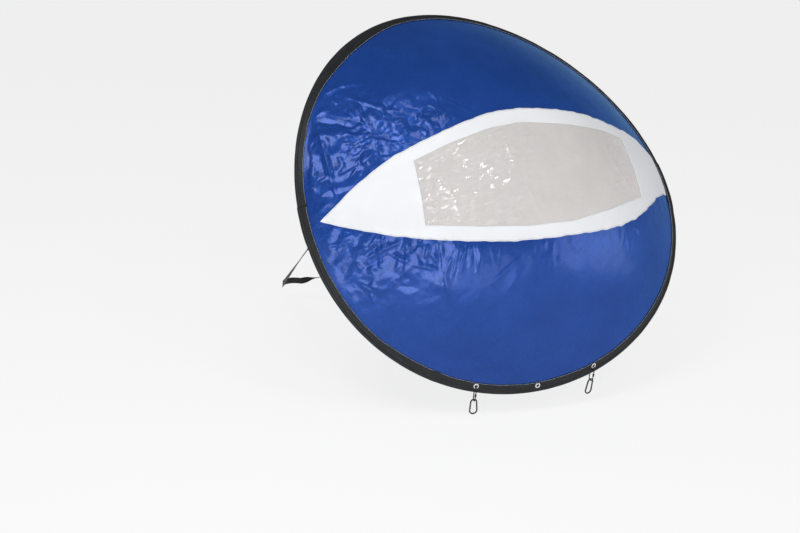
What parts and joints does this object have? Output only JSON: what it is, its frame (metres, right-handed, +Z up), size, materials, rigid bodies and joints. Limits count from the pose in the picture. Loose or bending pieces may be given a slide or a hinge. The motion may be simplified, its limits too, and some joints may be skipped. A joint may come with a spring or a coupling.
{
  "type": "canoe sail",
  "caption": "Pop-up downwind sail for a small boat: coated cloth bowl on a springy hoop, with a clear window, foot eyelets, snap clips and a webbing control line.",
  "frame": {"origin": "centre line of the hoop rod at the middle of the sail's foot", "axes": "+Z up, +X to the sail's right seen from its domed front, +Y aft, the way the control tape is pulled"},
  "size_m": [1.2554, 1.0987, 1.0141],
  "materials": {
    "blue_cloth": "coated nylon, shiny and crinkled",
    "white_cloth": "coated nylon, crinkled",
    "clear_film": "clear soft vinyl film, slightly creased",
    "sleeve_cloth": "heavy woven polyester binding",
    "webbing": "flat woven webbing",
    "loop_cord": "braided cord",
    "glass_fibre": "pultruded glass fibre rod",
    "eyelet_metal": "nickel plated brass",
    "plated_steel": "plated steel",
    "clip_black": "black anodised",
    "gate_black": "black anodised"
  },
  "bodies": {
    "sail": {"hoop_rod": "glass_fibre", "hoop_ferrule": "plated_steel", "sleeve_upper": "sleeve_cloth", "sleeve_lower": "sleeve_cloth", "upper_panel": "blue_cloth", "lower_panel": "blue_cloth", "eye_panel": "white_cloth", "window_film": "clear_film", "eyelet_left": "eyelet_metal", "eyelet_centre": "eyelet_metal", "eyelet_right": "eyelet_metal", "eyelet_washer_left": "eyelet_metal", "eyelet_washer_centre": "eyelet_metal", "eyelet_washer_right": "eyelet_metal", "side_loop_left": "webbing", "side_loop_right": "webbing", "control_tape": "webbing"},
    "left_loop": {"foot_loop_left": "loop_cord"},
    "right_loop": {"foot_loop_right": "loop_cord"},
    "left_clip": {"clip_body_left": "clip_black", "gate_pin_left": "plated_steel"},
    "right_clip": {"clip_body_right": "clip_black", "gate_pin_right": "plated_steel"},
    "left_gate": {"gate_left": "gate_black", "gate_spring_left": "plated_steel"},
    "right_gate": {"gate_right": "gate_black", "gate_spring_right": "plated_steel"}
  },
  "joints": [
    {"name": "left_loop_swing", "type": "hinge", "parent": "sail", "child": "left_loop", "pos_m": [-0.18666, 0.02842, 0.02516], "axis": [-0.2438, -0.9614, -0.1278], "range_deg": [-50, 28]},
    {"name": "right_loop_swing", "type": "hinge", "parent": "sail", "child": "right_loop", "pos_m": [0.18642, -0.00573, 0.05054], "axis": [0.0905, -0.9919, -0.0892], "range_deg": [-28, 50]},
    {"name": "left_clip_swing", "type": "hinge", "parent": "left_loop", "child": "left_clip", "pos_m": [-0.18531, 0.03372, -0.01724], "axis": [0.9693, -0.2458, 0], "range_deg": [-80, 80]},
    {"name": "right_clip_swing", "type": "hinge", "parent": "right_loop", "child": "right_clip", "pos_m": [0.18607, -0.00193, 0.00796], "axis": [0.9959, 0.0909, 0], "range_deg": [-80, 80]},
    {"name": "left_gate_open", "type": "hinge", "parent": "left_clip", "child": "left_gate", "pos_m": [-0.19313, 0.03748, -0.03062], "axis": [-0.2438, -0.9614, -0.1278], "range_deg": [0, 28], "stiffness_Nm_per_rad": 0.003, "springref_deg": -14.32},
    {"name": "right_gate_open", "type": "hinge", "parent": "right_clip", "child": "right_gate", "pos_m": [0.19443, 0.00004, -0.00549], "axis": [-0.0905, 0.9919, 0.0892], "range_deg": [0, 28], "stiffness_Nm_per_rad": 0.003, "springref_deg": -14.32}
  ]
}
